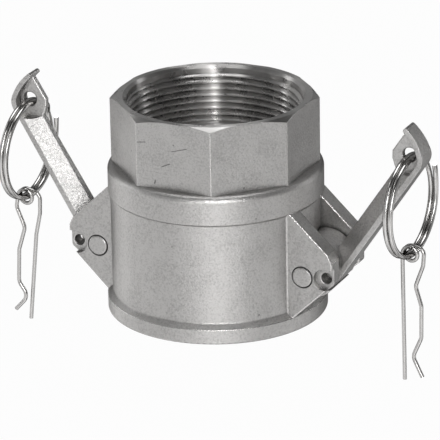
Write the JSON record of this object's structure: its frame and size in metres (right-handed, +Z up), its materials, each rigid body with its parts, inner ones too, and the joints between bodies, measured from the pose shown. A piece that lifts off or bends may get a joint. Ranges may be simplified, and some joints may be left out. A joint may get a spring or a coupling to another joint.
{
  "type": "cam and groove coupler",
  "caption": "Pipe coupler with a female pipe thread on an octagon, a socket for a grooved adapter, hinged cam levers, and split rings carrying spring clips.",
  "frame": {"origin": "centre of the adapter socket at its mouth plane", "axes": "+Z up the pipe axis towards the threaded end, +X towards the lever at the picture's right, -Y towards the camera"},
  "size_m": [0.1533, 0.0752, 0.0921],
  "materials": {
    "casting": "satin blasted investment casting",
    "lever": "satin blasted investment casting",
    "pivot_pin": "ground",
    "gasket": "moulded matt",
    "ring_wire": "bright drawn wire",
    "clip_wire": "bright drawn wire"
  },
  "bodies": {
    "body": {"coupler_body": "casting", "gasket": "gasket", "right_pivot_pin": "pivot_pin", "left_pivot_pin": "pivot_pin"},
    "right_lever": {"right_cam_lever": "lever"},
    "left_lever": {"left_cam_lever": "lever"},
    "right_ring": {"right_split_ring": "ring_wire"},
    "left_ring": {"left_split_ring": "ring_wire"},
    "right_clip": {"right_retaining_clip": "clip_wire"},
    "left_clip": {"left_retaining_clip": "clip_wire"}
  },
  "joints": [
    {"name": "right_lever_pivot", "type": "hinge", "parent": "body", "child": "right_lever", "pos_m": [0.038, 0, 0.0205], "axis": [0, 1, 0], "range_deg": [-33.5, 60]},
    {"name": "left_lever_pivot", "type": "hinge", "parent": "body", "child": "left_lever", "pos_m": [-0.038, 0, 0.0205], "axis": [0, -1, 0], "range_deg": [-31.8, 61.7]},
    {"name": "right_ring_swing", "type": "hinge", "parent": "right_lever", "child": "right_ring", "pos_m": [0.07089, 0, 0.06385], "axis": [0, -1, 0], "range_deg": [-15, 75]},
    {"name": "left_ring_swing", "type": "hinge", "parent": "left_lever", "child": "left_ring", "pos_m": [-0.06959, 0, 0.06481], "axis": [0, 1, 0], "range_deg": [-15, 75]},
    {"name": "right_clip_swing", "type": "hinge", "parent": "right_ring", "child": "right_clip", "pos_m": [0.07089, 0, 0.02859], "axis": [0, 1, 0], "range_deg": [-30, 30]},
    {"name": "left_clip_swing", "type": "hinge", "parent": "left_ring", "child": "left_clip", "pos_m": [-0.07112, -0.00399, 0.02981], "axis": [0, -1, 0], "range_deg": [-30, 30]}
  ]
}
